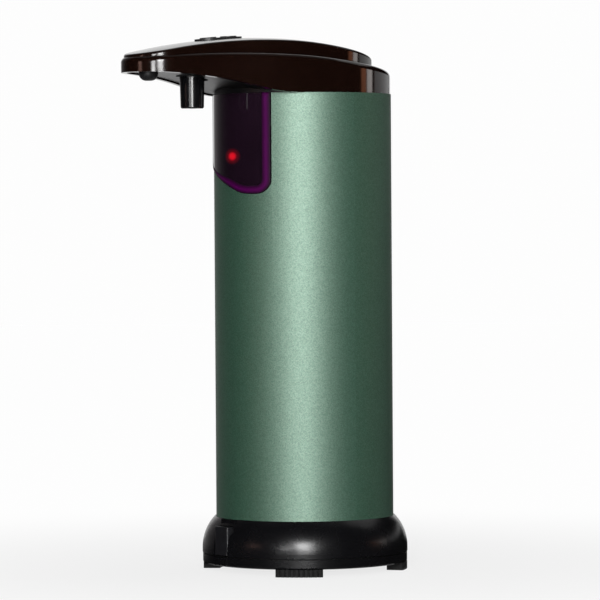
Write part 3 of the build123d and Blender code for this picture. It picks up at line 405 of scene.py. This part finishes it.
class DISPENSER_OT_outside(bpy.types.Operator):
    """Finishes of the pieces that show from outside"""
    bl_idname = "dispenser.outside"
    bl_label = "Outside finishes"

    def execute(self, context):
        c = context.scene.dispenser_colours
        rubber = grey(0.004)
        soft = (0.012, 0.012, 0.013, 1)
        paint(["body_sleeve"], flake_lacquer("sleeve_lacquer", c.sleeve, c.flake))
        paint(["head_shell"], polished("head_polished", c.head, 0.11))
        paint(["top_cover", "filler_lid"], polished("top_polished", c.head, 0.12))
        paint(["base_housing", "bottom_cover"],
              moulded("base_satin_plastic", c.base, 0.26, grain=1500.0, depth=0.04, spread=0.08, shine=0.35))
        # Painted highlight: the latch is the base's plastic made 2.5 times lighter, for the light that its
        # face catches
        paint(["cover_latch"],
              moulded("latch_plastic_painted_highlight", shade(c.base, 2.5), 0.36, grain=1500.0, depth=0.02))
        paint(["nozzle"],
              moulded("nozzle_gloss_plastic", c.base, 0.2, grain=1300.0, depth=0.02, spread=0.06))
        paint(["beak_liner"],
              moulded("liner_satin_plastic", c.base, 0.42, grain=1300.0, depth=0.03, spread=0.08))
        paint(["rubber_feet", "cover_gasket"],
              moulded("foot_grip_rubber", rubber, 0.6, grain=700.0, depth=0.15, shine=0.2))
        paint(["key_pad", "nozzle_collar", "liner_plug"],
              moulded("key_soft_rubber", soft, 0.45, grain=1100.0))
        for key in ("plus_key", "minus_key"):
            low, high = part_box(key)
            paint([key], marked_key(key + "_printed", soft, (low + high) / 2, key == "plus_key"))
        low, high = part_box("indicator_led")
        lamp_at = ((low.x + high.x) / 2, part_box("sensor_window")[0].y, (low.z + high.z) / 2)
        paint(["sensor_window"], tinted_acrylic("window_tinted_acrylic", c.window, c.lamp, lamp_at))
        return {"FINISHED"}


def grid_mesh(name, points, closed=False):
    """Mesh from a grid of points, rows by columns by 3; closed makes each row a ring and caps both ends."""
    rows, cols = points.shape[:2]
    index = np.arange(rows * cols).reshape(rows, cols)
    ring = np.concatenate([index, index[:, :1]], axis=1) if closed else index
    quads = np.stack([ring[:-1, :-1], ring[:-1, 1:], ring[1:, 1:], ring[1:, :-1]], axis=-1)
    faces = quads.reshape(-1, 4).tolist()
    if closed:
        faces += [index[0, ::-1].tolist(), index[-1].tolist()]
    mesh = bpy.data.meshes.new(name)
    mesh.from_pydata(points.reshape(-1, 3), [], faces)
    mesh.shade_smooth()
    return mesh


def set_values(mesh, name, values):
    """Gives the points of a mesh an attribute."""
    mesh.attributes.new(name, "FLOAT", "POINT").data.foreach_set("value", values)


def rounded_line(corners, radii, step):
    """Open line through corners, rounded by arcs that turn evenly from leg to leg, in even steps."""
    corners = np.array(corners, float)
    runs = [corners[:1]]
    for at, r in zip(range(1, len(corners) - 1), radii):
        here = corners[at]
        back = (corners[at - 1] - here) / np.linalg.norm(corners[at - 1] - here)
        ahead = (corners[at + 1] - here) / np.linalg.norm(corners[at + 1] - here)
        half = np.arccos(np.clip(back @ ahead, -1, 1)) / 2
        middle = here + (back + ahead) / np.linalg.norm(back + ahead) * r / np.sin(half)
        first = here + back * r / np.tan(half) - middle
        last = here + ahead * r / np.tan(half) - middle
        whole = pi - 2 * half
        turn = np.linspace(0, 1, ARC_POINTS)[:, None] * whole
        side = (last - first * np.cos(whole)) / np.sin(whole)
        runs.append(middle + first * np.cos(turn) + side * np.sin(turn))
    line = np.concatenate(runs + [corners[-1:]])
    length = np.concatenate([[0], np.cumsum(np.linalg.norm(np.diff(line, axis=0), axis=1))])
    even = np.linspace(0, length[-1], int(length[-1] / step))
    return np.stack([np.interp(even, length, line[:, k]) for k in range(2)], -1)


class DISPENSER_OT_window(bpy.types.Operator):
    """Bevelled rim round the sensor window"""
    bl_idname = "dispenser.window"
    bl_label = "Window rim"

    def execute(self, context):
        """Carries a closed profile along the outline drawn from the front, inwards by its inset.

        A point keeps its x and z, and its y puts it on the pane's cylinder, raised by its height.
        """
        c = context.scene.dispenser_colours
        sizes = context.scene.dispenser_rim
        low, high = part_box("sensor_window")
        radius = -low.y
        floor = low.z + RIM_LIFT
        corners = [(RIM_NEAR, high.z), (RIM_NEAR, floor), (RIM_BEND, floor),
                   (RIM_FAR, floor + RIM_CLIMB), (RIM_FAR, high.z)]
        line = rounded_line(corners, RIM_RADII, RIM_STEP)
        along = np.gradient(line, axis=0)
        along /= np.linalg.norm(along, axis=1)[:, None]
        inward = np.stack([along[:, 1], -along[:, 0]], -1)
        inset = RIM_ACROSS * sizes.width
        height = RIM_RISE * sizes.height
        share = np.interp(line[:, 0], [RIM_FAR, RIM_FAR / 2, 0.0], RIM_SLIM)
        flat = line[:, None] + inset[:, None] * (share[:, None] * inward)[:, None]
        x = flat[..., 0]
        points = np.stack([x, -np.sqrt((radius + height)**2 - x**2), flat[..., 1]], -1)
        mesh = grid_mesh("window_rim", points, closed=True)
        set_values(mesh, "across", np.tile(RIM_ACROSS, len(line)))
        # The rim's purple band is painted light through the bevel's edge
        mesh.materials.append(lit_bevel("window_rim_painted_edge_light", c.rim, c.window))
        rim = bpy.data.objects.new("window_rim", mesh)
        context.scene.collection.objects.link(rim)
        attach(rim, "dispenser")
        return {"FINISHED"}


class DISPENSER_OT_inside(bpy.types.Operator):
    """Finishes of the tank, pump, boards and battery bay"""
    bl_idname = "dispenser.inside"
    bl_label = "Inside finishes"

    def execute(self, context):
        paint(["tank_gasket", "filler_stopper"],
              moulded("seal_rubber_grey", grey(0.2), 0.6, grain=800.0, depth=0.1))
        paint(["soap_tank", "filler_neck", "pickup_tube"],
              moulded("tank_frosted_plastic", (0.7, 0.72, 0.7, 1), 0.4, grain=600.0, depth=0.08, wear=0.05))
        paint(["battery_tray", "pump_chassis", "pump_rotor", "pump_race"],
              moulded("frame_grey_plastic", (0.12, 0.125, 0.13, 1), 0.5, grain=900.0, depth=0.1))
        paint(["motor_pinion", "compound_gear", "rotor_gear"],
              moulded("gear_cream_plastic", (0.75, 0.72, 0.62, 1), 0.35, grain=1200.0, wear=0.05))
        paint(["pump_roller_1", "pump_roller_2", "pump_roller_3"],
              moulded("roller_white_plastic", grey(0.7), 0.3, wear=0.05))
        paint(["pump_hose"],
              moulded("hose_silicone_milky", (0.62, 0.6, 0.54, 1), 0.35, grain=500.0, wear=0.06))
        paint(["gear_axles", "roller_pins", "lid_hinge_pin"],
              drawn_steel("pin_ground_steel", grey(0.6)))
        paint(["motor"],
              drawn_steel("motor_plated_steel", (0.55, 0.55, 0.56, 1), 0.35, (1.0, 0.06, 1.0)))
        paint(["race_screws", "board_screws", "key_board_screws", "liner_screw"],
              drawn_steel("screw_dark_steel", (0.3, 0.3, 0.31, 1), 0.38, (1.0, 1.0, 1.0)))
        paint(["battery_contacts"],
              drawn_steel("contact_nickel", (0.7, 0.68, 0.62, 1), 0.28, (1.0, 0.1, 1.0)))
        paint(["sensor_board", "key_board"],
              circuit_laminate("board_green_laminate", (0.015, 0.12, 0.05, 1)))
        paint(["tact_switches"], moulded("switch_black_plastic", grey(0.02), 0.5))
        paint(["ir_emitter"], clear_resin("emitter_clear_resin", (0.5, 0.55, 0.65, 1)))
        paint(["ir_receiver"], clear_resin("receiver_dark_resin", (0.02, 0.01, 0.03, 1)))
        paint(["indicator_led"],
              clear_resin("indicator_red_resin", (0.7, 0.02, 0.04, 1), (0.7, 0.01, 0.03, 1)))
        paint(["aaa_cells"], cell_wrap("cell_printed_film", (0.03, 0.05, 0.22, 1)))
        paint(["battery_leads"], moulded("lead_red_cover", (0.35, 0.015, 0.015, 1), 0.4, grain=700.0))
        paint(["key_ribbon"], moulded("ribbon_pale_film", (0.6, 0.57, 0.46, 1), 0.35))
        return {"FINISHED"}


def pale_ground(name, near, far):
    """Pale ground: white to the camera and in mirrors; a share of it, less with distance, takes shade."""
    f = Finish(name)
    f.graded("Base Color", f.noise(scale=40.0), [(0.3, grey(0.9)), (0.7, grey(0.92))])
    f.fix("Roughness", 0.9)
    reach = f.add("ShaderNodeVectorMath", {0: f.place}, operation="LENGTH")
    share = f.add("ShaderNodeMapRange", {
        "Value": reach.outputs["Value"], "From Min": SHADOW_REACH[0], "From Max": SHADOW_REACH[1],
        "To Min": 1.0 - near, "To Max": 1.0 - far}, interpolation_type="SMOOTHSTEP")
    both = {0: seen_directly(f.tree), 1: share.outputs["Result"]}
    part = f.add("ShaderNodeMath", both, operation="MULTIPLY")
    white = f.add("ShaderNodeEmission", {"Color": WHITE, "Strength": 1.0})
    mix = f.add("ShaderNodeMixShader", {0: part.outputs[0], 1: f.shader.outputs[0], 2: white.outputs[0]})
    f.tree.links.new(mix.outputs[0], f.tree.nodes["Material Output"].inputs["Surface"])
    return f.mat


def studio_cloth(name):
    """Black studio cloth with a faint weave; towards its left end it glows, painted light set by an
    attribute.
    """
    f = Finish(name)
    f.graded("Base Color", f.noise(scale=300.0), [(0.3, grey(0.004)), (0.7, grey(0.007))])
    f.fix("Roughness", 0.95)
    f.fix("Specular IOR Level", 0.1)
    f.fix("Emission Color", (1, 0.95, 0.97, 1))
    f.join("Emission Strength", f.add("ShaderNodeAttribute", attribute_name="cloth_glow").outputs["Fac"])
    return f.mat


def stage_object(name, mesh, mat):
    """Adds a mesh to the stage."""
    mesh.materials.append(mat)
    obj = bpy.data.objects.new(name, mesh)
    bpy.context.scene.collection.objects.link(obj)
    return obj


def lay_ground(azimuth):
    """Flat square floor, and a backdrop that is an upright arc about the axis, opposite the camera."""
    across = np.linspace(-FLOOR_HALF, FLOOR_HALF, GROUND_POINTS)
    u, v = np.meshgrid(across, across)
    floor = grid_mesh("floor", np.stack([u, v, 0 * u], -1))
    stage_object("floor", floor, pale_ground("floor_pale", near=0.22, far=0.02))
    turns = np.linspace(-BACKDROP_TURN, BACKDROP_TURN, BACKDROP_POINTS) + (azimuth + pi)
    a, z = np.meshgrid(turns, np.linspace(*BACKDROP_HEIGHTS, GROUND_POINTS))
    wall = np.stack([BACKDROP_REACH * np.sin(a), -BACKDROP_REACH * np.cos(a), z], -1)
    backdrop = grid_mesh("backdrop", wall[:, ::-1])
    stage_object("backdrop", backdrop, pale_ground("backdrop_pale", near=0.02, far=0.02))


def hang_flags(azimuth):
    """Dark cloth that only gloss shows: a line out, up and back overhead, turned about the axis."""
    turns = np.linspace(-FLAG_TURN, FLAG_TURN, FLAG_POINTS) + azimuth
    a, row = np.meshgrid(turns, np.arange(len(FLAG_REACH)))
    reach = FLAG_REACH[row]
    cloth = grid_mesh("dark_flags", np.stack([reach * np.sin(a), -reach * np.cos(a), FLAG_HEIGHT[row]], -1))
    # Painted light: the cloth's glow grows towards its left end
    cloth_glow = np.clip(azimuth - a - FLAG_GLOW_TURN, 0, 1)**2 * FLAG_GLOW
    set_values(cloth, "cloth_glow", cloth_glow.ravel())
    flags = stage_object("dark_flags", cloth, studio_cloth("flag_cloth"))
    flags.visible_camera = False
    flags.visible_shadow = False
    flags.visible_diffuse = False


def area_light(name, place, aim_height, width, tall, power):
    """Soft rectangular light that faces a height on the axis."""
    lamp = bpy.data.lights.new(name, "AREA")
    lamp.shape = "RECTANGLE"
    lamp.size = width
    lamp.size_y = tall
    lamp.energy = power
    obj = bpy.data.objects.new(name, lamp)
    obj.location = place
    aim = Vector((0, 0, aim_height)) - Vector(place)
    obj.rotation_euler = aim.to_track_quat("-Z", "Y").to_euler()
    obj.visible_camera = False
    bpy.context.scene.collection.objects.link(obj)
    return lamp


def spot(stage, turn, reach, height):
    """Point at an angle in degrees from the camera's side, a reach from the axis and a height."""
    angle = stage.azimuth + radians(turn)
    return (reach * sin(angle), -reach * cos(angle), height)


def set_lights(stage):
    """Three soft lights, and the cards that show in the gloss."""
    powers = {"key_light": stage.key_power, "top_light": stage.top_power, "rim_light": stage.rim_power}
    for name, (turn, reach, height, aim_height, width, tall) in LIGHTS.items():
        area_light(name, spot(stage, turn, reach, height), aim_height, width, tall, powers[name])
    for turn, height, width, tall, level, tint in CARDS:
        power = level * pi * width * tall
        card = area_light(f"card_{turn}", spot(stage, turn, CARD_REACH, height), height, width, tall, power)
        card.color = tint


def set_world(scene):
    """World that is white where it is seen or mirrored, and otherwise a dim fill."""
    world = bpy.data.worlds.new("studio")
    world.use_nodes = True
    tree = world.node_tree
    ground = tree.nodes["Background"]
    ground.inputs["Color"].default_value = WHITE
    levels = {"Value": seen_directly(tree), "To Min": WORLD_FILL, "To Max": 1.0}
    level = add_node(tree, "ShaderNodeMapRange", levels)
    tree.links.new(level.outputs["Result"], ground.inputs["Strength"])
    scene.world = world


def set_camera(scene, stage):
    """Camera at its side, distance and height, turned to frame the dispenser."""
    camera = bpy.data.cameras.new("camera")
    camera.sensor_width = 36.0
    camera.lens = stage.lens
    obj = bpy.data.objects.new("camera", camera)
    turn = (Matrix.Rotation(stage.azimuth + CAMERA_PAN, 4, "Z") @ Matrix.Rotation(CAMERA_TILT, 4, "X")
            @ Matrix.Rotation(CAMERA_ROLL, 4, "Z"))
    obj.matrix_world = Matrix.Translation(spot(stage, 0, stage.distance, stage.height)) @ turn
    scene.collection.objects.link(obj)
    scene.camera = obj


class DISPENSER_OT_stage(bpy.types.Operator):
    """Floor, backdrop, dark flags, lights, world and camera"""
    bl_idname = "dispenser.stage"
    bl_label = "Stage"

    def execute(self, context):
        scene = context.scene
        stage = scene.dispenser_stage
        lay_ground(stage.azimuth)
        hang_flags(stage.azimuth)
        set_lights(stage)
        set_world(scene)
        set_camera(scene, stage)
        scene.view_settings.view_transform = "Standard"
        return {"FINISHED"}


class DISPENSER_PT_panel(bpy.types.Panel):
    """Colours, sizes, stage and steps of the dispenser"""
    bl_idname = "DISPENSER_PT_panel"
    bl_label = "Dispenser"
    bl_space_type = "VIEW_3D"
    bl_region_type = "UI"
    bl_category = "Dispenser"

    def draw(self, context):
        scene = context.scene
        for group in (scene.dispenser_colours, scene.dispenser_rim, scene.dispenser_stage):
            for name in group.__annotations__:
                self.layout.prop(group, name)
        for step in STEPS:
            self.layout.operator(step.bl_idname)


STEPS = (DISPENSER_OT_outside, DISPENSER_OT_window, DISPENSER_OT_inside, DISPENSER_OT_stage)
CLASSES = (DispenserColours, DispenserRim, DispenserStage) + STEPS + (DISPENSER_PT_panel,)


def register():
    for item in CLASSES:
        bpy.utils.register_class(item)
    bpy.types.Scene.dispenser_colours = bpy.props.PointerProperty(type=DispenserColours)
    bpy.types.Scene.dispenser_rim = bpy.props.PointerProperty(type=DispenserRim)
    bpy.types.Scene.dispenser_stage = bpy.props.PointerProperty(type=DispenserStage)


def unregister():
    del bpy.types.Scene.dispenser_colours
    del bpy.types.Scene.dispenser_rim
    del bpy.types.Scene.dispenser_stage
    for item in reversed(CLASSES):
        bpy.utils.unregister_class(item)


def main():
    """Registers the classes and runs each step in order."""
    register()
    bpy.ops.dispenser.outside()
    bpy.ops.dispenser.window()
    bpy.ops.dispenser.inside()
    bpy.ops.dispenser.stage()


if __name__ == "__main__":
    main()
